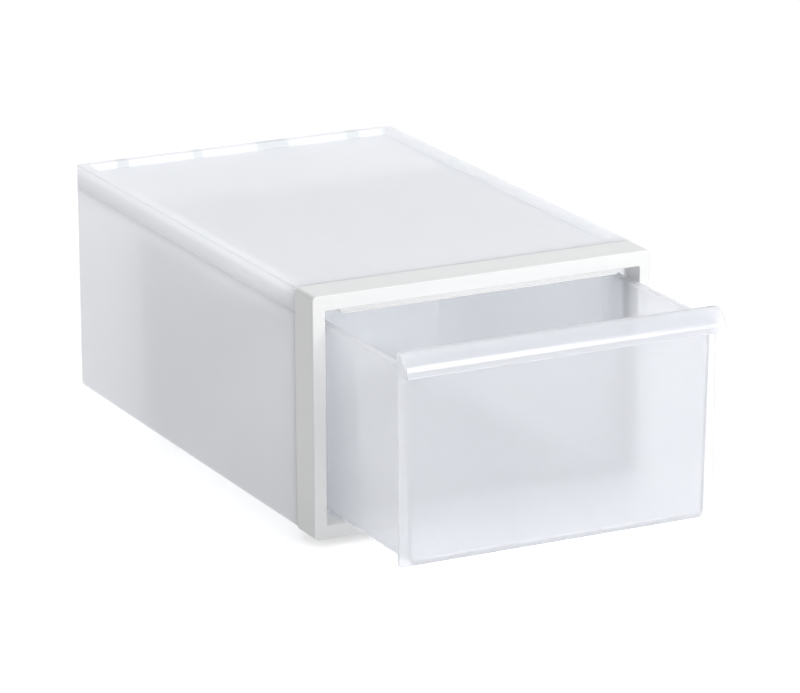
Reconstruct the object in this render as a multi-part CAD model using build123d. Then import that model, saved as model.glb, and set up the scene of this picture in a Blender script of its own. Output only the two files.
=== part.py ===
"""Stackable drawer box: a frosted moulded case with a white front frame and one pull-out drawer.

Four mouldings make the object. The case body is an open tub whose floor steps down into a
plinth, the lid snaps over its rim and carries a raised border that the plinth of the next box
drops into, the front frame closes the mouth of both, and the drawer slides on two runners.

X is the width, Y the depth with the rear at +Y, Z is up. The origin is the centre of the
plinth's underside, which is what the box stands on. The drawer is drawn as far out as
drawer_opening says. All sizes are in millimetres.
"""
import os
from math import radians, tan

from build123d import *

# Case as a whole
case_width = 260.0
case_depth = 406.0
case_height = 172.0          # front frame, lower edge to top
wall = 2.2                   # case body, lid and frame
fit_gap = 0.2                # between mouldings that snap together
corner_radius = 3.5          # upright corners seen from above
seam_radius = 0.4            # outer edges along the seams between mouldings
body_edge_radius = 4.0       # lower long edges of the body

# Plinth that nests in the lid below
stack_gap = 0.3              # between two stacked front frames
body_lift = 0.75             # body's lower edge above the frame's
plinth_gap = 2.0             # from the recess of the lid below, all round
plinth_radius = 6.0

# Front frame
frame_depth = 28.0
frame_corner_radius = 3.0
frame_face = 2.4             # thickness of the front face
stile_width = 9.25
top_rail = 10.7
bottom_rail = 9.7
tunnel_wall = 2.0            # inner wall round the mouth
tunnel_depth = 18.0
mouth_radius = 1.0
lip_drop = 2.2               # stop lip under the top rail
lip_setback = 4.5
lip_thickness = 2.2
lip_notch = 16.5             # free end each side of the lip
lip_end_radius = 2.0
gusset_thickness = 1.6
gusset_depth = 6.0
gusset_pitch = 48.0

# Lid
skirt_height = 17.2
rim_width = 7.5              # raised border left, right and rear
front_rim_width = 11.0
recess_depth = 5.0
recess_radius = 4.5
recess_draft = 13.0          # degrees
rim_rise = 11.5              # height of the body's tongue inside the skirt
lid_tongue_reach = 9.0       # under the frame's top wall

# Snap hooks on the rear of the lid
hook_offsets = (34.0, 95.0)  # either side of the middle
hook_width = 7.5
hook_thickness = 1.8
hook_barb = 1.4
hook_barb_height = 2.6
hook_length = 12.0

# Tongue of the body inside the frame, with its catches
front_tongue = 14.0
catch_width = 14.0
catch_height = 1.0
catch_length = 5.0
catch_offsets = (-45.0, 0.0, 45.0)

# Runners on the case floor
runner_spacing = 164.0
runner_width = 3.0
runner_draft = 1.2           # degrees
runner_end_gap = 26.0
drawer_lift = 2.3            # drawer's underside above the bottom rail
running_gap = 0.3
closing_stop_height = 45.0   # above the drawer's underside

# Drawer
drawer_opening = 107.2       # how far out it is drawn
panel_side_gap = 1.0
panel_top_gap = 1.0
panel_thickness = 2.2
panel_corner_radius = 2.5
drawer_wall = 2.0
drawer_rear_gap = 6.2        # from the case's rear face, drawer closed
side_overhang = 4.2          # panel beyond the tub's wall at its top
tub_draft_side = 1.66        # degrees
tub_draft_rear = 0.5
tub_corner_radius = 5.0
tub_floor_radius = 5.0
flange_drop = 9.8            # flange's top below the panel's top
flange_thickness = 2.0
flange_inset = 0.6           # inside the panel's edges
flange_lip = 1.7             # turned-down edge below the flange
flange_lip_thickness = 1.5
rear_flange = 1.8
handle_radius = 14.0
handle_thickness = 2.0
handle_straight = 0.9
stop_offset = 70.0           # stop ears either side of the middle
stop_width = 22.0
stop_engagement = 1.5        # overlap with the frame's lip

# Derived levels and faces
plinth_drop = recess_depth + stack_gap
y_front = -case_depth / 2
y_rear = case_depth / 2
y_body = y_front + frame_depth
z_frame = plinth_drop
z_top = z_frame + case_height
z_body = z_frame + body_lift
z_seam = z_top - skirt_height
z_mouth_low = z_frame + bottom_rail
z_mouth_high = z_top - top_rail
z_recess = z_top - recess_depth
z_lip = z_mouth_high - lip_drop
half_width = case_width / 2
mouth_half = half_width - stile_width
tongue_out = half_width - wall - fit_gap
tongue_in = tongue_out - wall

z_drawer = z_mouth_low + drawer_lift
z_panel_top = z_mouth_high - panel_top_gap
z_flange = z_panel_top - flange_drop
panel_half = mouth_half - panel_side_gap
tub_half_top = panel_half - side_overhang
tub_half_low = tub_half_top - (z_flange - z_drawer) * tan(radians(tub_draft_side))
y_panel = y_front - drawer_opening
y_tub_rear_top = y_rear - drawer_rear_gap - rear_flange - drawer_opening
y_tub_rear_low = y_tub_rear_top - (z_flange - z_drawer) * tan(radians(tub_draft_rear))
z_stop = z_lip + stop_engagement
z_runner = z_drawer - running_gap
y_closed = (y_tub_rear_low + drawer_opening + running_gap
            + closing_stop_height * tan(radians(tub_draft_rear)))


def upright(y):
    """Sketch plane across the case at depth y: sketch X is X and sketch Y is Z."""
    return Plane(origin=(0, y, 0), x_dir=(1, 0, 0), z_dir=(0, -1, 0))


def level(z):
    """Sketch plane at height z, seen from above."""
    return Plane.XY.offset(z)


def span(x0, x1, y0, y1):
    """Rectangle between two corners of a sketch."""
    return Pos((x0 + x1) / 2, (y0 + y1) / 2) * Rectangle(abs(x1 - x0), abs(y1 - y0))


def rounded_span(x0, x1, y0, y1, radius):
    """Rectangle between two corners with its corners rounded."""
    return Pos((x0 + x1) / 2, (y0 + y1) / 2) * RectangleRounded(abs(x1 - x0), abs(y1 - y0), radius)


def raised(sketch, z0, z1):
    """Extrude a plan from one height up to another."""
    return extrude(level(z0) * sketch, amount=z1 - z0)


def drawn_back(sketch, y0, y1):
    """Extrude a front view from one depth back to another."""
    return extrude(upright(y0) * sketch, amount=-(y1 - y0))


def edges_at(part, axis, value, parallel_to):
    """Edges along one axis whose middle lies at a value on another."""
    index = {Axis.X: 0, Axis.Y: 1, Axis.Z: 2}[axis]
    found = part.edges().filter_by(parallel_to)
    return [edge for edge in found if abs(tuple(edge.center())[index] - value) < 0.01]


def seam_edges(part, axis, value):
    """Edges at a value on one axis whose two ends lie on the outside of the case."""
    index = {Axis.Y: 1, Axis.Z: 2}[axis]

    def is_outside(point):
        return (abs(point.X) > half_width - 0.01 or point.Y > y_rear - 0.01
                or point.Z < z_body + 0.01 or point.Z > z_top - 0.01)

    return [edge for edge in part.edges()
            if all(abs(tuple(end)[index] - value) < 0.01 and is_outside(Vector(end))
                   for end in edge.vertices())]


def tub_plan(inset, radius):
    """Plan of the case body and lid, square at the mouth and rounded at the rear corners."""
    x = half_width - inset
    plan = span(-x, x, y_body, y_rear - inset)
    return fillet(plan.vertices().sort_by(Axis.Y)[-2:], radius)


# Case body ------------------------------------------------------------------------------

def body_tub():
    """Open tub with rounded lower edges, up to the seam under the lid."""
    outer = raised(tub_plan(0, corner_radius), z_body, z_seam)
    outer = fillet(outer.faces().sort_by(Axis.Z)[0].edges().sort_by(Axis.Y)[1:], body_edge_radius)
    hollow = raised(tub_plan(wall, corner_radius - wall), z_body + wall, z_seam + wall)
    hollow += drawn_back(span(wall - half_width, half_width - wall, z_body + wall, z_seam + wall),
                         y_body - wall, y_body + wall)
    low_edges = hollow.faces().sort_by(Axis.Z)[0].edges().filter_by(Axis.Y)
    hollow = fillet(low_edges, body_edge_radius - wall)
    return outer - hollow


def body_rim():
    """Tongue round the top that the lid's skirt slides over, on a shelf at the seam."""
    inset = half_width - tongue_out
    tongue = tub_plan(inset, corner_radius - wall / 2) - tub_plan(inset + wall, wall / 4)
    shelf = tub_plan(0, corner_radius) - tub_plan(inset + wall, wall / 4)
    bottom = z_seam - wall
    return raised(shelf, bottom, z_seam) + raised(tongue, z_seam, z_seam + rim_rise)


def front_tongue_ring():
    """Tongue round the mouth that sits inside the frame, with the shelf it grows from."""
    z_low = z_frame + wall + fit_gap
    z_high = z_seam + rim_rise
    opening = span(-tongue_in, tongue_in, z_low + wall, z_high + wall)
    tongue = span(-tongue_out, tongue_out, z_low, z_high) - opening
    shelf = span(-half_width, half_width, z_body, z_seam)
    shelf = fillet(shelf.vertices().sort_by(Axis.Y)[:2], body_edge_radius) - opening
    ring = drawn_back(tongue, y_body - front_tongue, y_body + wall)
    corners = [edge for edge in edges_at(ring, Axis.Z, z_low, Axis.Y)]
    ring = fillet(corners, wall / 2)
    return ring + drawn_back(shelf, y_body, y_body + wall)


def catch_centres():
    """Heights of the catches on each side of the mouth."""
    middle = (z_frame + z_seam) / 2
    return [middle + offset for offset in catch_offsets]


def catch(side, clearance=0.0):
    """Ramped catch on the side of the front tongue; with a clearance, the pocket it snaps into."""
    face = tongue_out - clearance
    tip = face + catch_height + fit_gap + 2 * clearance
    y_low = y_body - front_tongue + wall
    y_high = y_low + catch_length + clearance
    profile = make_face(Polyline((face, y_low - 4 * clearance), (tip, y_low + catch_height * 2),
                                 (tip, y_high), (face, y_high), close=True))
    height = catch_width + 2 * clearance
    catches = [raised(profile, z - height / 2, z + height / 2) for z in catch_centres()]
    return [item if side > 0 else mirror(item, Plane.YZ) for item in catches]


def plinth():
    """Pan that the floor steps down into, sized to drop into the recess of the lid below."""
    gap = plinth_gap + recess_depth * tan(radians(recess_draft))
    x = half_width - rim_width - gap
    front = y_body + front_rim_width + gap
    rear = y_rear - rim_width - gap
    pan = raised(rounded_span(-x, x, front, rear, plinth_radius), 0, z_body + wall)
    foot_edges = pan.faces().sort_by(Axis.Z)[0].edges()
    pan = fillet(foot_edges, plinth_drop / 2)
    pocket = raised(rounded_span(wall - x, x - wall, front + wall, rear - wall,
                                 plinth_radius - wall), wall, z_body + 2 * wall)
    return pan, pocket


def runners():
    """Two ribs along the floor that carry the drawer, ramped at both ends."""
    foot = runner_width / 2 + (z_runner - wall) * tan(radians(runner_draft))
    section = make_face(Polyline((-foot, wall / 2), (foot, wall / 2), (runner_width / 2, z_runner),
                                 (-runner_width / 2, z_runner), close=True))
    y0 = y_body + runner_end_gap
    y1 = y_rear - runner_end_gap
    ribs = []
    for x in (-runner_spacing / 2, runner_spacing / 2):
        rib = drawn_back(Pos(x, 0) * section, y0, y1)
        ends = [edge for edge in rib.edges().filter_by(Axis.X)
                if abs(edge.center().Z - z_runner) < 0.01]
        ribs.append(chamfer(ends, (z_runner - wall) / 2))
    return ribs


def closing_stops():
    """Two upright ribs on the rear wall that the closed drawer comes to rest against."""
    half = runner_width / 2
    return [raised(span(x - half, x + half, y_closed, y_rear - wall / 2),
                   z_body + wall / 2, z_drawer + closing_stop_height)
            for x in (-runner_spacing / 2, runner_spacing / 2)]


def hook_centres():
    """Middle of each snap hook along the rear wall."""
    return [side * offset for offset in hook_offsets for side in (-1, 1)]


def hook_windows():
    """Openings in the rear tongue that the lid's hooks catch in."""
    z_low = z_seam + rim_rise - hook_length + fit_gap
    z_high = z_low + hook_barb_height + 2 * fit_gap
    half = hook_width / 2 + 2 * fit_gap
    y_out = y_rear - wall
    return [drawn_back(span(x - half, x + half, z_low, z_high), y_out - 2 * wall, y_out)
            for x in hook_centres()]


def case_body():
    """The tub with its rim, mouth tongue, plinth, runners, stops, catches and hook windows."""
    body = body_tub() + body_rim() + front_tongue_ring()
    body = fillet(seam_edges(body, Axis.Z, z_seam) + seam_edges(body, Axis.Y, y_body),
                  seam_radius)
    pan, pocket = plinth()
    body = body + pan - pocket
    for rib in runners() + closing_stops():
        body += rib
    for side in (-1, 1):
        for item in catch(side):
            body += item
    for window in hook_windows():
        body -= window
    return body


# Lid ------------------------------------------------------------------------------------

def recess_plan(inset):
    """Plan of the recessed panel inside the raised border."""
    x = half_width - rim_width - inset
    return rounded_span(-x, x, y_body + front_rim_width + inset, y_rear - rim_width - inset,
                        recess_radius)


def lid_shell():
    """Raised border, skirt and recessed panel, all of one wall."""
    shell = raised(tub_plan(0, corner_radius), z_seam, z_top)
    top_edges = shell.faces().sort_by(Axis.Z)[-1].edges().sort_by(Axis.Y)[1:]
    shell = fillet(top_edges, wall / 2)
    recess = extrude(level(z_top) * recess_plan(0), amount=-recess_depth, taper=recess_draft)
    floor_edges = recess.faces().sort_by(Axis.Z)[0].edges()
    recess = fillet(floor_edges, wall / 3)
    hollow = raised(tub_plan(wall, corner_radius - wall), z_seam, z_top - wall)
    core = extrude(level(z_top) * recess_plan(-wall), amount=-(recess_depth + wall),
                   taper=recess_draft)
    hollow -= core
    hollow += raised(tub_plan(wall, corner_radius - wall), z_seam, z_recess - wall)
    shell = shell - recess - hollow
    return fillet(seam_edges(shell, Axis.Z, z_seam) + seam_edges(shell, Axis.Y, y_body),
                  seam_radius)


def lid_front_edge():
    """Front wall of the lid and the tongue that hooks under the frame's top wall."""
    z_high = z_top - wall - fit_gap
    half = tongue_in - fit_gap
    wall_plan = span(-half, half, y_body, y_body + wall)
    front_wall = raised(wall_plan, z_recess - wall, z_top - wall)
    tongue_plan = span(-half, half, y_body - lid_tongue_reach, y_body + wall)
    tongue = raised(tongue_plan, z_high - wall, z_high)
    nose = edges_at(tongue, Axis.Y, y_body - lid_tongue_reach, Axis.X)
    return front_wall + fillet(nose, wall / 3)


def hooks():
    """Snap hooks that hang from the rear border behind the body's tongue."""
    face = y_rear - (half_width - tongue_in) - fit_gap
    z_tip = z_seam + rim_rise - hook_length
    barb_top = z_tip + hook_barb_height
    profile = make_face(Polyline(
        (face - hook_thickness, z_top - wall / 2), (face, z_top - wall / 2),
        (face, barb_top), (face + hook_barb + fit_gap, barb_top),
        (face, z_tip), (face - hook_thickness, z_tip), close=True))
    side_view = Plane.YZ * profile
    return [Pos(x - hook_width / 2, 0, 0) * extrude(side_view, amount=hook_width)
            for x in hook_centres()]


def lid():
    """Top moulding with its recessed panel, skirt, front tongue and rear hooks."""
    moulding = lid_shell() + lid_front_edge()
    for hook in hooks():
        moulding += hook
    return moulding


# Front frame ----------------------------------------------------------------------------

def frame_shell():
    """Face ring with an outer wall to the body and a shorter inner wall round the mouth."""
    z_mid = (z_frame + z_top) / 2
    outline = Pos(0, z_mid) * RectangleRounded(case_width, case_height, frame_corner_radius)
    shell = drawn_back(outline, y_front, y_body)
    shell = fillet(shell.faces().sort_by(Axis.Y)[0].edges(), wall / 3)
    inside = Pos(0, z_mid) * RectangleRounded(case_width - 2 * wall, case_height - 2 * wall,
                                              frame_corner_radius - wall)
    mouth = rounded_span(-mouth_half, mouth_half, z_mouth_low, z_mouth_high, mouth_radius)
    tunnel = rounded_span(-mouth_half - tunnel_wall, mouth_half + tunnel_wall,
                          z_mouth_low - tunnel_wall, z_mouth_high + tunnel_wall,
                          mouth_radius + tunnel_wall)
    shell -= drawn_back(inside - tunnel, y_front + frame_face, y_body)
    shell -= drawn_back(inside, y_front + tunnel_depth, y_body)
    shell -= drawn_back(mouth, y_front, y_body)
    rim = [edge for edge in shell.faces().sort_by(Axis.Y)[0].edges()
           if abs(edge.center().X) < half_width - stile_width / 2
           or z_frame + bottom_rail / 2 < edge.center().Z < z_top - top_rail / 2]
    mouth_edges = [edge for edge in rim
                   if abs(edge.center().X) <= mouth_half + 0.01
                   and z_mouth_low - 0.01 <= edge.center().Z <= z_mouth_high + 0.01]
    shell = fillet(mouth_edges, mouth_radius / 2)
    return fillet(seam_edges(shell, Axis.Y, y_body), seam_radius)


def stop_lip():
    """Lip under the top rail that keeps the drawer from being pulled right out."""
    half = mouth_half - lip_notch
    outline = span(-half, half, z_lip, z_mouth_high + tunnel_wall / 2)
    outline = fillet(outline.vertices().sort_by(Axis.Y)[:2], lip_end_radius)
    y0 = y_front + lip_setback
    lip = drawn_back(outline, y0, y0 + lip_thickness)
    return fillet(edges_at(lip, Axis.Z, z_lip, Axis.X), lip_thickness / 3)


def gussets():
    """Small ribs across the hollow of the frame, evenly spaced along rails and stiles."""
    y0 = y_front + frame_face / 2
    y1 = y_front + gusset_depth
    half = gusset_thickness / 2
    ribs = []
    columns = int((case_width - 2 * stile_width) // (2 * gusset_pitch))
    for k in range(-columns, columns + 1):
        x = k * gusset_pitch
        ribs.append(drawn_back(span(x - half, x + half, z_frame + wall / 2,
                                    z_mouth_low - tunnel_wall / 2), y0, y1))
        ribs.append(drawn_back(span(x - half, x + half, z_mouth_high + tunnel_wall / 2,
                                    z_top - wall / 2), y0, y1))
    rows = int((case_height - top_rail - bottom_rail) // (2 * gusset_pitch))
    z_mid = (z_mouth_low + z_mouth_high) / 2
    for k in range(-rows, rows + 1):
        z = z_mid + k * gusset_pitch
        for side in (-1, 1):
            x0 = side * (mouth_half + tunnel_wall / 2)
            x1 = side * (half_width - wall / 2)
            ribs.append(drawn_back(span(x0, x1, z - half, z + half), y0, y1))
    return ribs


def front_frame():
    """White bezel with its stop lip, gussets and catch pockets."""
    frame = frame_shell() + stop_lip()
    for rib in gussets():
        frame += rib
    for side in (-1, 1):
        for pocket in catch(side, clearance=fit_gap / 2):
            frame -= pocket
    return frame


# Drawer ---------------------------------------------------------------------------------

def tub_section(inset, z):
    """Plan of the tapering tub at height z, its walls moved in by inset."""
    rise = (z - z_drawer) / (z_flange - z_drawer)
    x = tub_half_low + (tub_half_top - tub_half_low) * rise - inset
    rear = y_tub_rear_low + (y_tub_rear_top - y_tub_rear_low) * rise - inset
    plan = span(-x, x, y_panel + panel_thickness / 2, rear)
    radius = max(tub_corner_radius - inset, drawer_wall / 4)
    return level(z) * fillet(plan.vertices().sort_by(Axis.Y)[-2:], radius)


def drawer_tub():
    """Tapering tub of one wall, its floor run into the sides by a radius."""
    outer = loft([tub_section(0, z_drawer), tub_section(0, z_flange)], ruled=True)
    floor_edges = outer.faces().sort_by(Axis.Z)[0].edges().sort_by(Axis.Y)[1:]
    outer = fillet(floor_edges, tub_floor_radius)
    floor = z_drawer + drawer_wall
    above = z_flange + drawer_wall
    hollow = loft([tub_section(drawer_wall, floor), tub_section(drawer_wall, above)], ruled=True)
    hollow -= drawn_back(span(-panel_half, panel_half, z_drawer, above + drawer_wall),
                         y_panel, y_panel + panel_thickness)
    hollow = fillet(hollow.faces().sort_by(Axis.Z)[0].edges(), tub_floor_radius - drawer_wall)
    return outer - hollow


def drawer_flange():
    """Flange round the top of the tub with its turned-down edge."""
    x = panel_half - flange_inset
    rear = y_tub_rear_top + rear_flange
    outline = span(-x, x, y_panel + panel_thickness / 2, rear)
    outline = fillet(outline.vertices().sort_by(Axis.Y)[-2:], tub_corner_radius)
    z_under = z_flange - flange_thickness
    flange = raised(outline, z_under, z_flange)
    upper = flange.faces().sort_by(Axis.Z)[-1].edges().sort_by(Axis.Y)[1:]
    flange = fillet(upper, flange_thickness / 4)
    flange -= extrude(tub_section(drawer_wall, z_under), amount=2 * flange_thickness)
    for side in (-1, 1):
        edge = span(side * (x - flange_lip_thickness), side * x,
                    y_panel + panel_thickness / 2, rear - tub_corner_radius)
        flange += raised(edge, z_under - flange_lip, z_under)
    return flange


def front_panel():
    """Flat front of the drawer, wider than the tub."""
    outline = rounded_span(-panel_half, panel_half, z_drawer, z_panel_top, panel_corner_radius)
    panel = drawn_back(outline, y_panel, y_panel + panel_thickness)
    return fillet(panel.faces().sort_by(Axis.Y)[0].edges(), panel_thickness / 4)


def handle():
    """Quarter-round grip that curls forward and down from the panel's top edge."""
    r = handle_radius
    t = handle_thickness
    low = -r - handle_straight
    profile = make_face(Curve() + [
        Line((panel_thickness, 0), (0, 0)),
        CenterArc((0, -r), r, 90, 90),
        Line((-r, -r), (-r, low)),
        Line((-r, low), (-r + t, low)),
        Line((-r + t, low), (-r + t, -r)),
        CenterArc((0, -r), r - t, 180, -90),
        Line((0, -r + (r - t)), (panel_thickness, -t)),
        Line((panel_thickness, -t), (panel_thickness, 0)),
    ])
    section = Plane(origin=(-panel_half, y_panel, z_panel_top), x_dir=(0, 1, 0),
                    z_dir=(1, 0, 0)) * profile
    grip = extrude(section, amount=2 * panel_half)
    lower = edges_at(grip, Axis.Z, z_panel_top + low, Axis.X)
    return fillet(lower, t / 3)


def stop_ears():
    """Ears on the rear wall that meet the frame's lip when the drawer is right out."""
    ears = []
    for x in (-stop_offset, stop_offset):
        half = stop_width / 2
        outline = rounded_span(x - half, x + half, z_flange - 2 * flange_thickness, z_stop,
                               drawer_wall)
        ears.append(drawn_back(outline, y_tub_rear_top - drawer_wall, y_tub_rear_top))
    return ears


def drawer():
    """One moulding: tub, flange, front panel, grip and stop ears."""
    moulding = drawer_tub() + drawer_flange() + front_panel() + handle()
    for ear in stop_ears():
        moulding += ear
    return moulding


def main():
    """Build every moulding and write one file for each."""
    os.makedirs("parts", exist_ok=True)
    mouldings = {
        "case_body": case_body(),
        "lid": lid(),
        "front_frame": front_frame(),
        "drawer": drawer(),
    }
    for name, moulding in mouldings.items():
        export_step(moulding, f"parts/{name}.step")
        box = moulding.bounding_box()
        print(name, "solids", len(moulding.solids()), "volume", round(moulding.volume), box)
    travel = y_tub_rear_top - drawer_wall - (y_front + lip_setback + lip_thickness) - running_gap
    print("slide range from", -drawer_opening, "to", round(travel, 2))


main()
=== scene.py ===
"""Looks, light and camera for a stackable drawer box of moulded polypropylene."""

from math import cos, radians, sin

import bpy
from bpy.props import FloatProperty, PointerProperty, StringProperty
from bpy.types import NodeSocket, Operator, Panel, PropertyGroup
from mathutils import Matrix, Vector


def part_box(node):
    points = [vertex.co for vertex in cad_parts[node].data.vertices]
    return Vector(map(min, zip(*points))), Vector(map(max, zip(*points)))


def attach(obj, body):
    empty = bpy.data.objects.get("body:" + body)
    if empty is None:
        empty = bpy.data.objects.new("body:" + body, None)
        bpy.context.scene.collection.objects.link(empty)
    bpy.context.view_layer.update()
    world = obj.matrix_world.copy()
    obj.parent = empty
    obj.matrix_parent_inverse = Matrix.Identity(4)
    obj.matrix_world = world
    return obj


bl_info = {
    "name": "Stackable Drawer Box",
    "version": (1, 0, 0),
    "blender": (4, 5, 0),
    "location": "3D View > Sidebar > Drawer Box",
    "description": "Moulded finishes, studio light and camera for a stackable drawer box",
    "category": "Object",
}

MM = 0.001
TOUCH = 0.001 * MM          # two places this close are the same place

# Stop lip
TOP_RAIL = 10.7 * MM        # height of the frame's top rail above the mouth
LIP_ROOT = 0.5 * MM         # how far the lip reaches up into that rail
CORNER_STEPS = 8            # faces round each of its two lower corners
EDGE_STEPS = 3              # faces round each of its other edges
BEVEL_ABOVE = radians(50)   # edges that turn more than this are bevelled
SMOOTH_BELOW = radians(40)  # faces that meet flatter than this shade as one

# Painted shade over the lid's snap hooks: darker patches in the lid's colour where the hooks
# shade the light through its rear border
HOOK_SHADE_REACH = 10.0 * MM      # from the lid's rear and top
HOOK_SHADE_BANDS = ((-95, 4.5), (-34, 3.75), (28, 13), (95, 5))   # middle and half width in mm
HOOK_SHADE_COLOUR = "#F1F3F4"

# Moulded polypropylene
PLASTIC_IOR = 1.49
GRAIN_DEPTH = 0.05 * MM
RIPPLE_DEPTH = 0.6 * MM
GLOSS_SPREAD = 0.04         # how far the grain moves the roughness, either way
MIX_SHARE, MIX_A, MIX_B, MIXED = 0, 6, 7, 2   # a Mix node's sockets when it mixes colours

# Stage, in metres
WHITE = "#FFFFFF"
COOL_WHITE = "#F1F6FF"
FLOOR_SIZE = 8.0
FLOOR_ROUGHNESS = 0.9
FLOOR_LIFT = 0.5            # own light that makes the floor read as plain white
KEY_PLACE, KEY_SIZE = (0.9, -3.0, 1.4), 1.4
TOP_PLACE, TOP_SIZE = (0.1, 0.2, 2.4), 1.8
SIDE_PLACE, SIDE_SIZE = (2.2, -0.4, 0.9), 1.6

# Camera
CAMERA_AWAY = (-1.45903, -2.79270, 1.05646)   # metres from the middle of the frame's front foot
CAMERA_TURN = radians(26.53)                  # to the right of straight ahead
CAMERA_DROP = radians(16.55)                  # below level
CAMERA_LEAN = radians(-0.331)                 # rise of its right-hand side
SENSOR_WIDTH = 36.0                           # mm
FOCAL_LENGTH = 216.55                         # mm
FAR_CLIP = 50.0                               # metres

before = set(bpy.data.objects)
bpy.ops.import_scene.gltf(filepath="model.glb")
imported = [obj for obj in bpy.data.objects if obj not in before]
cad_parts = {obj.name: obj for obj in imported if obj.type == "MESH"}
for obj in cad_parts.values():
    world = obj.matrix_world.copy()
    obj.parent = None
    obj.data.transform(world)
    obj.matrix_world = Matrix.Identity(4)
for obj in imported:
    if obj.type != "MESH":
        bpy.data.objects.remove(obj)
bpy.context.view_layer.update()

case_low, case_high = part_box("case_body")
lid_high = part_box("lid")[1]
bezel_low, bezel_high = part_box("front_frame")


# Shared helpers -------------------------------------------------------------------------

def linear(hex_colour):
    """Turn an sRGB hex colour into the linear values that a shader works in."""
    channels = [int(hex_colour[k:k + 2], 16) / 255 for k in (1, 3, 5)]
    values = [c / 12.92 if c <= 0.04045 else ((c + 0.055) / 1.055) ** 2.4 for c in channels]
    return (*values, 1.0)


def add_node(tree, kind, inputs=None, **settings):
    """Add one node with its settings, and link or set its inputs."""
    node = tree.nodes.new(kind)
    for key, value in settings.items():
        setattr(node, key, value)
    for key, value in (inputs or {}).items():
        if isinstance(value, NodeSocket):
            tree.links.new(value, node.inputs[key])
        else:
            node.inputs[key].default_value = value
    return node


def new_material(name):
    """An empty node material with its output."""
    material = bpy.data.materials.new(name)
    material.use_nodes = True
    tree = material.node_tree
    tree.nodes.clear()
    return material, tree, add_node(tree, "ShaderNodeOutputMaterial")


def seen_rays(tree):
    """One where a thing is looked at, mirrored or seen through a wall, and nought where it only
    lights the object."""
    paths = add_node(tree, "ShaderNodeLightPath").outputs
    mirrored = add_node(tree, "ShaderNodeMath",
                        {0: paths["Is Camera Ray"], 1: paths["Is Glossy Ray"]},
                        operation="MAXIMUM")
    return add_node(tree, "ShaderNodeMath",
                    {0: mirrored.outputs[0], 1: paths["Is Transmission Ray"]},
                    operation="MAXIMUM").outputs[0]


def hook_shade_mask(tree, place):
    """One over the snap hooks, where painted shade in the lid's colour stands for their shadow
    seen through the lid's rear border.
    """
    axes = add_node(tree, "ShaderNodeSeparateXYZ", {0: place}).outputs
    rows = [add_node(tree, "ShaderNodeMath",
                     {0: axes["X"], 1: middle * MM, 2: half_width * MM},
                     operation="COMPARE").outputs[0]
            for middle, half_width in HOOK_SHADE_BANDS]
    shown = rows[0]
    for row in rows[1:]:
        shown = add_node(tree, "ShaderNodeMath", {0: shown, 1: row},
                         operation="MAXIMUM").outputs[0]
    for axis, least in (("Y", lid_high.y - HOOK_SHADE_REACH), ("Z", lid_high.z - HOOK_SHADE_REACH)):
        inside = add_node(tree, "ShaderNodeMath", {0: axes[axis], 1: least},
                          operation="GREATER_THAN")
        shown = add_node(tree, "ShaderNodeMath", {0: shown, 1: inside.outputs[0]},
                         operation="MULTIPLY").outputs[0]
    return shown


def moulded_plastic(name, look, paint_hook_shade=False):
    """Injection-moulded polypropylene: satin skin from the mould's fine texture, with the faint
    cloudiness that the melt leaves as it flows."""
    material, tree, output = new_material(name)
    place = add_node(tree, "ShaderNodeTexCoord").outputs["Object"]
    cloud = add_node(tree, "ShaderNodeTexNoise",
                     {"Vector": place, "Scale": 1 / (look.cloud_size * MM), "Detail": 3.0})
    tint = add_node(tree, "ShaderNodeMix",
                    {MIX_SHARE: cloud.outputs["Fac"],
                     MIX_A: linear(look.shade), MIX_B: linear(look.colour)},
                    data_type="RGBA").outputs[MIXED]
    # Painted shade: the hooks' shadow through the lid, mixed into its colour
    if paint_hook_shade:
        tint = add_node(tree, "ShaderNodeMix",
                        {MIX_SHARE: hook_shade_mask(tree, place),
                         MIX_A: tint, MIX_B: linear(HOOK_SHADE_COLOUR)},
                        data_type="RGBA").outputs[MIXED]
    grain = add_node(tree, "ShaderNodeTexNoise",
                     {"Vector": place, "Scale": 1 / (look.grain_size * MM), "Detail": 2.0})
    ripple = add_node(tree, "ShaderNodeTexNoise",
                      {"Vector": place, "Scale": 1 / (look.ripple_size * MM), "Detail": 1.0})
    skin = add_node(tree, "ShaderNodeBump",
                    {"Height": grain.outputs["Fac"], "Strength": look.grain_strength,
                     "Distance": GRAIN_DEPTH})
    wave = add_node(tree, "ShaderNodeBump",
                    {"Height": ripple.outputs["Fac"], "Strength": look.ripple_strength,
                     "Distance": RIPPLE_DEPTH, "Normal": skin.outputs["Normal"]})
    satin = add_node(tree, "ShaderNodeMapRange",
                     {"Value": grain.outputs["Fac"], "To Min": look.roughness - GLOSS_SPREAD,
                      "To Max": look.roughness + GLOSS_SPREAD})
    surface = add_node(tree, "ShaderNodeBsdfPrincipled",
                       {"Base Color": tint, "Normal": wave.outputs["Normal"],
                        "Roughness": satin.outputs["Result"], "IOR": PLASTIC_IOR,
                        "Transmission Weight": look.clearness}).outputs["BSDF"]
    if look.glow > 0:
        surface = light_through(tree, surface, tint, wave.outputs["Normal"], look)
    tree.links.new(surface, output.inputs["Surface"])
    return material


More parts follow.
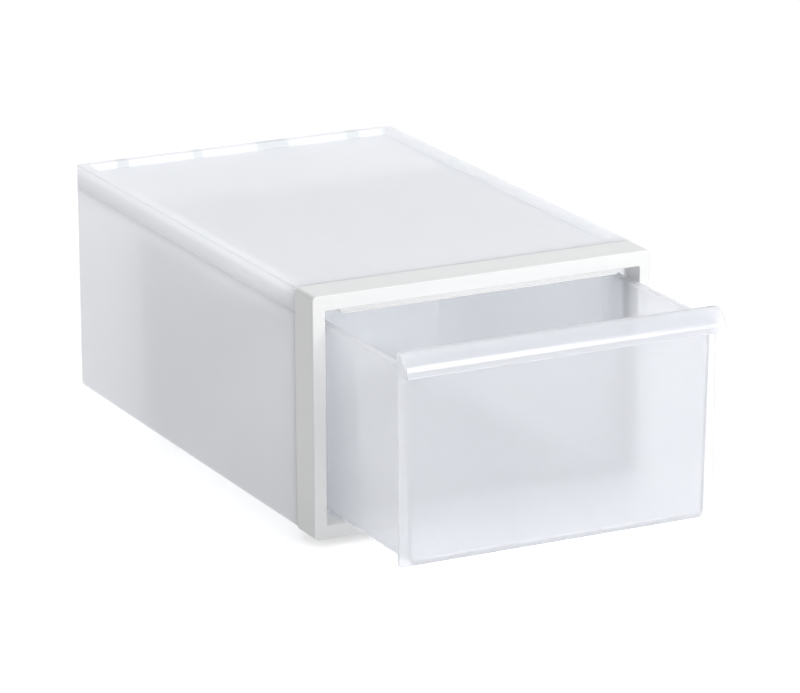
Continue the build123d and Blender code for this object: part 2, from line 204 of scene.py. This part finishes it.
def light_through(tree, surface, tint, normal, look):
    """Let light scatter through the wall, and let some of the lamps' light go straight in."""
    milk = add_node(tree, "ShaderNodeBsdfTranslucent", {"Color": tint, "Normal": normal})
    wall = add_node(tree, "ShaderNodeMixShader",
                    {"Fac": look.glow, 1: surface, 2: milk.outputs["BSDF"]})
    paths = add_node(tree, "ShaderNodeLightPath").outputs
    passed = add_node(tree, "ShaderNodeMath",
                      {0: paths["Is Shadow Ray"], 1: look.lamp_pass}, operation="MULTIPLY")
    open_air = add_node(tree, "ShaderNodeBsdfTransparent")
    return add_node(tree, "ShaderNodeMixShader",
                    {"Fac": passed.outputs[0], 1: wall.outputs[0],
                     2: open_air.outputs[0]}).outputs[0]


def dress(node_name, material):
    """Give a carried-over piece its only material."""
    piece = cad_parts[node_name]
    piece.data.materials.clear()
    piece.data.materials.append(material)


# What a user would change ---------------------------------------------------------------

def colour(name, description, default):
    """An sRGB hex colour, as it is typed."""
    return StringProperty(name=name, description=description, default=default)


def share(name, description, default):
    """A setting from nought to one."""
    return FloatProperty(name=name, description=description, default=default, min=0, max=1,
                         subtype="FACTOR")


def amount(name, description, default, least=0.0, unit="NONE"):
    """A size, a power or a strength."""
    return FloatProperty(name=name, description=description, default=default, min=least,
                         unit=unit)


def plastic_settings(tone, shade, clearness, glow, lamp_pass, roughness):
    """The settings of one moulded plastic, with that plastic's own defaults.

    The mould's real texture is a few tenths of a millimetre, too fine to show, so the grain is
    drawn coarser."""
    return {
        "colour": colour("Colour", "sRGB hex colour", tone),
        "shade": colour("Shade", "sRGB hex colour of the darker clouds", shade),
        "clearness": share("Clearness", "Share of light that passes", clearness),
        "glow": share("Glow", "Share of light scattered through", glow),
        "lamp_pass": share("Lamp pass", "Lamp light let straight in", lamp_pass),
        "roughness": share("Roughness", "How matt the skin is", roughness),
        "cloud_size": amount("Cloud size", "Width of a cloud in millimetres", 45.0, 1),
        "grain_size": amount("Grain size", "Width of a grain in millimetres", 0.8, 0.05),
        "grain_strength": share("Grain strength", "Depth of the grain", 0.15),
        "ripple_size": amount("Ripple size", "Width of a ripple in millimetres", 60.0, 1),
        "ripple_strength": share("Ripple strength", "Depth of ripples", 0.1),
    }


class FrostedCaseLook(PropertyGroup):
    """Frosted case and lid."""
    __annotations__ = plastic_settings(tone="#FDFDFE", shade="#FAFBFC", clearness=0.1,
                                       glow=0.45, lamp_pass=0.78, roughness=0.3)


class WhiteFrameLook(PropertyGroup):
    """Opaque white front frame."""
    __annotations__ = plastic_settings(tone="#FCFCFB", shade="#F8F8F7", clearness=0.0,
                                       glow=0.0, lamp_pass=0.0, roughness=0.45)


class StopLipShape(PropertyGroup):
    """Hanging edge of the stop lip under the frame's top rail."""
    half_width: amount("Half width", "Middle to either end", 107.95 * MM, unit="LENGTH")
    drop: amount("Drop", "How far it hangs below the top rail", 4.6 * MM, unit="LENGTH")
    setback: amount("Setback", "From the frame's face to the lip's", 3.5 * MM, unit="LENGTH")
    thickness: amount("Thickness", "Front to rear", 3.3 * MM, unit="LENGTH")
    end_radius: amount("End radius", "Of the two lower corners", 3.0 * MM, unit="LENGTH")
    edge_radius: amount("Edge radius", "Of all other edges", 0.4 * MM, unit="LENGTH")


class ClearDrawerLook(PropertyGroup):
    """Clearer drawer."""
    __annotations__ = plastic_settings(tone="#F8F9FB", shade="#F5F6F9", clearness=0.78,
                                       glow=0.15, lamp_pass=0.66, roughness=0.1)


class StageLook(PropertyGroup):
    """Floor and lamps."""
    floor_colour: colour("Floor colour", "sRGB hex colour", "#F4F4F4")
    key_power: amount("Key power", "Large lamp at the front right", 46.0, unit="POWER")
    top_power: amount("Top power", "Large lamp overhead", 10.0, unit="POWER")
    side_power: amount("Side power", "Large lamp at the right", 12.5, unit="POWER")
    fill: amount("Fill", "Strength of the even light from all round", 0.4)


# Operators ------------------------------------------------------------------------------

class DRAWERBOX_OT_case_body(Operator):
    """Finish the case body in frosted polypropylene"""
    bl_idname = "drawerbox.case_body"
    bl_label = "Case Body"

    def execute(self, context):
        # Polypropylene from a blasted mould: a hazy wall that shows only soft shapes behind it
        dress("case_body", moulded_plastic("frosted_polypropylene_case",
                                           context.scene.frosted_case))
        return {"FINISHED"}


class DRAWERBOX_OT_lid(Operator):
    """Finish the lid in frosted polypropylene"""
    bl_idname = "drawerbox.lid"
    bl_label = "Lid"

    def execute(self, context):
        # The case's plastic, with painted shade where the snap hooks stand behind it
        dress("lid", moulded_plastic("frosted_polypropylene_lid", context.scene.frosted_case,
                                     paint_hook_shade=True))
        return {"FINISHED"}


class DRAWERBOX_OT_front_frame(Operator):
    """Finish the front frame in opaque white polypropylene"""
    bl_idname = "drawerbox.front_frame"
    bl_label = "Front Frame"

    def execute(self, context):
        # Polypropylene pigmented right through: no light passes, and highlights stay soft
        dress("front_frame", moulded_plastic("white_polypropylene_frame",
                                             context.scene.white_frame))
        return {"FINISHED"}


class DRAWERBOX_OT_stop_lip(Operator):
    """Hang the full depth of the stop lip under the frame's top rail"""
    bl_idname = "drawerbox.stop_lip"
    bl_label = "Stop Lip"

    def execute(self, context):
        shape = context.scene.stop_lip
        top = bezel_high.z - TOP_RAIL + LIP_ROOT
        low = bezel_high.z - TOP_RAIL - shape.drop
        front = bezel_low.y + shape.setback
        bpy.ops.object.select_all(action="DESELECT")
        bpy.ops.mesh.primitive_cube_add(size=1.0)
        lip = context.object
        lip.name = "stop_lip"
        bpy.ops.object.mode_set(mode="EDIT")
        bpy.ops.transform.resize(value=(2 * shape.half_width, shape.thickness, top - low))
        bpy.ops.transform.translate(value=(0, front + shape.thickness / 2, (top + low) / 2))
        self.round_ends(lip, shape.end_radius, low)
        bpy.ops.object.mode_set(mode="OBJECT")
        soften = lip.modifiers.new("edges", "BEVEL")
        soften.width = shape.edge_radius
        soften.segments = EDGE_STEPS
        soften.limit_method = "ANGLE"
        soften.angle_limit = BEVEL_ABOVE
        bpy.ops.object.modifier_apply(modifier=soften.name)
        bpy.ops.object.shade_smooth_by_angle(angle=SMOOTH_BELOW)
        lip.data.materials.append(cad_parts["front_frame"].active_material)
        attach(lip, "case")
        return {"FINISHED"}

    def round_ends(self, lip, radius, low):
        """Round the two lower corners with a bevel along the edges that run front to rear."""
        bpy.ops.mesh.select_all(action="DESELECT")
        bpy.ops.object.mode_set(mode="OBJECT")
        points = lip.data.vertices
        for edge in lip.data.edges:
            a, b = (points[k].co for k in edge.vertices)
            edge.select = (abs(a.x - b.x) < TOUCH and abs(a.z - low) < TOUCH
                           and abs(b.z - low) < TOUCH)
        bpy.ops.object.mode_set(mode="EDIT")
        bpy.ops.mesh.bevel(offset=radius, segments=CORNER_STEPS, affect="EDGES")


class DRAWERBOX_OT_drawer(Operator):
    """Finish the drawer in translucent polypropylene"""
    bl_idname = "drawerbox.drawer"
    bl_label = "Drawer"

    def execute(self, context):
        # Polypropylene from a smoother mould: clear enough to make out the shapes behind it
        dress("drawer", moulded_plastic("translucent_polypropylene_drawer",
                                        context.scene.clear_drawer))
        return {"FINISHED"}


def floor_material(look):
    """Matt white board: bright enough to read as plain white, and it keeps the soft shadow."""
    material, tree, output = new_material("matt_white_board")
    lift = add_node(tree, "ShaderNodeMath", {0: seen_rays(tree), 1: FLOOR_LIFT},
                    operation="MULTIPLY")
    surface = add_node(tree, "ShaderNodeBsdfPrincipled",
                       {"Base Color": linear(look.floor_colour), "Roughness": FLOOR_ROUGHNESS,
                        "Emission Color": linear(WHITE), "Emission Strength": lift.outputs[0]})
    tree.links.new(surface.outputs["BSDF"], output.inputs["Surface"])
    return material


def area_lamp(name, place, aim, size, power, tone=WHITE):
    """A large soft square lamp that points at a place."""
    data = bpy.data.lights.new(name, "AREA")
    data.shape = "SQUARE"
    data.size = size
    data.energy = power
    data.color = linear(tone)[:3]
    lamp = bpy.data.objects.new(name, data)
    bpy.context.scene.collection.objects.link(lamp)
    lamp.location = place
    lamp.rotation_euler = (Vector(aim) - Vector(place)).to_track_quat("-Z", "Y").to_euler()


class DRAWERBOX_OT_stage(Operator):
    """Add the white floor, the soft lamps, the world and the camera"""
    bl_idname = "drawerbox.stage"
    bl_label = "Studio Stage"

    def execute(self, context):
        look = context.scene.studio_stage
        bpy.ops.object.select_all(action="DESELECT")
        bpy.ops.mesh.primitive_plane_add(size=FLOOR_SIZE, location=(0, 0, case_low.z))
        floor = context.object
        floor.name = "floor"
        floor.data.materials.append(floor_material(look))
        aim = (0, case_low.y, case_high.z / 2)
        area_lamp("key", KEY_PLACE, aim, KEY_SIZE, look.key_power)
        area_lamp("top", TOP_PLACE, aim, TOP_SIZE, look.top_power, COOL_WHITE)
        area_lamp("side", SIDE_PLACE, aim, SIDE_SIZE, look.side_power)
        self.world(context.scene, look)
        self.camera(context.scene)
        context.scene.view_settings.view_transform = "Standard"
        return {"FINISHED"}

    def world(self, scene, look):
        """Even soft light all round, white where it is looked at or through."""
        scene.world = bpy.data.worlds.new("white_surround")
        scene.world.use_nodes = True
        tree = scene.world.node_tree
        tree.nodes.clear()
        strength = add_node(tree, "ShaderNodeMapRange",
                            {"Value": seen_rays(tree), "To Min": look.fill, "To Max": 1.0})
        light = add_node(tree, "ShaderNodeBackground",
                         {"Color": linear(WHITE), "Strength": strength.outputs["Result"]})
        add_node(tree, "ShaderNodeOutputWorld", {"Surface": light.outputs[0]})

    def camera(self, scene):
        """Long lens from the front left, a little above, as such boxes are photographed."""
        place = Vector((CAMERA_AWAY[0], bezel_low.y + CAMERA_AWAY[1],
                        bezel_low.z + CAMERA_AWAY[2]))
        ahead = Vector((sin(CAMERA_TURN) * cos(CAMERA_DROP), cos(CAMERA_TURN) * cos(CAMERA_DROP),
                        -sin(CAMERA_DROP)))
        right = Vector((cos(CAMERA_TURN), -sin(CAMERA_TURN), 0))
        up = right.cross(ahead)
        side = cos(CAMERA_LEAN) * right + sin(CAMERA_LEAN) * up
        top = -sin(CAMERA_LEAN) * right + cos(CAMERA_LEAN) * up
        data = bpy.data.cameras.new("long_lens")
        data.sensor_width = SENSOR_WIDTH
        data.lens = FOCAL_LENGTH
        data.clip_end = FAR_CLIP
        camera = bpy.data.objects.new("long_lens", data)
        scene.collection.objects.link(camera)
        camera.matrix_world = Matrix.Translation(place) @ Matrix(
            (side, top, -ahead)).transposed().to_4x4()
        scene.camera = camera


class DRAWERBOX_PT_panel(Panel):
    """Lists the steps that finish the drawer box, and their settings"""
    bl_label = "Drawer Box"
    bl_idname = "DRAWERBOX_PT_panel"
    bl_space_type = "VIEW_3D"
    bl_region_type = "UI"
    bl_category = "Drawer Box"

    def draw(self, context):
        for step in STEPS:
            self.layout.operator(step.bl_idname)
        for name in LOOKS:
            box = self.layout.box()
            look = getattr(context.scene, name)
            for key in look.__annotations__:
                box.prop(look, key)


LOOKS = {
    "frosted_case": FrostedCaseLook,
    "white_frame": WhiteFrameLook,
    "stop_lip": StopLipShape,
    "clear_drawer": ClearDrawerLook,
    "studio_stage": StageLook,
}
STEPS = (DRAWERBOX_OT_case_body, DRAWERBOX_OT_lid, DRAWERBOX_OT_front_frame,
         DRAWERBOX_OT_stop_lip, DRAWERBOX_OT_drawer, DRAWERBOX_OT_stage)


def register():
    """Register the looks, the steps and the panel."""
    for item in (*LOOKS.values(), *STEPS, DRAWERBOX_PT_panel):
        bpy.utils.register_class(item)
    for name, look in LOOKS.items():
        setattr(bpy.types.Scene, name, PointerProperty(type=look))


def unregister():
    """Remove what register added."""
    for name in LOOKS:
        delattr(bpy.types.Scene, name)
    for item in reversed((*LOOKS.values(), *STEPS, DRAWERBOX_PT_panel)):
        bpy.utils.unregister_class(item)


def main():
    """Run every step in order."""
    register()
    bpy.ops.drawerbox.case_body()
    bpy.ops.drawerbox.lid()
    bpy.ops.drawerbox.front_frame()
    bpy.ops.drawerbox.stop_lip()
    bpy.ops.drawerbox.drawer()
    bpy.ops.drawerbox.stage()


if __name__ == "__main__":
    main()
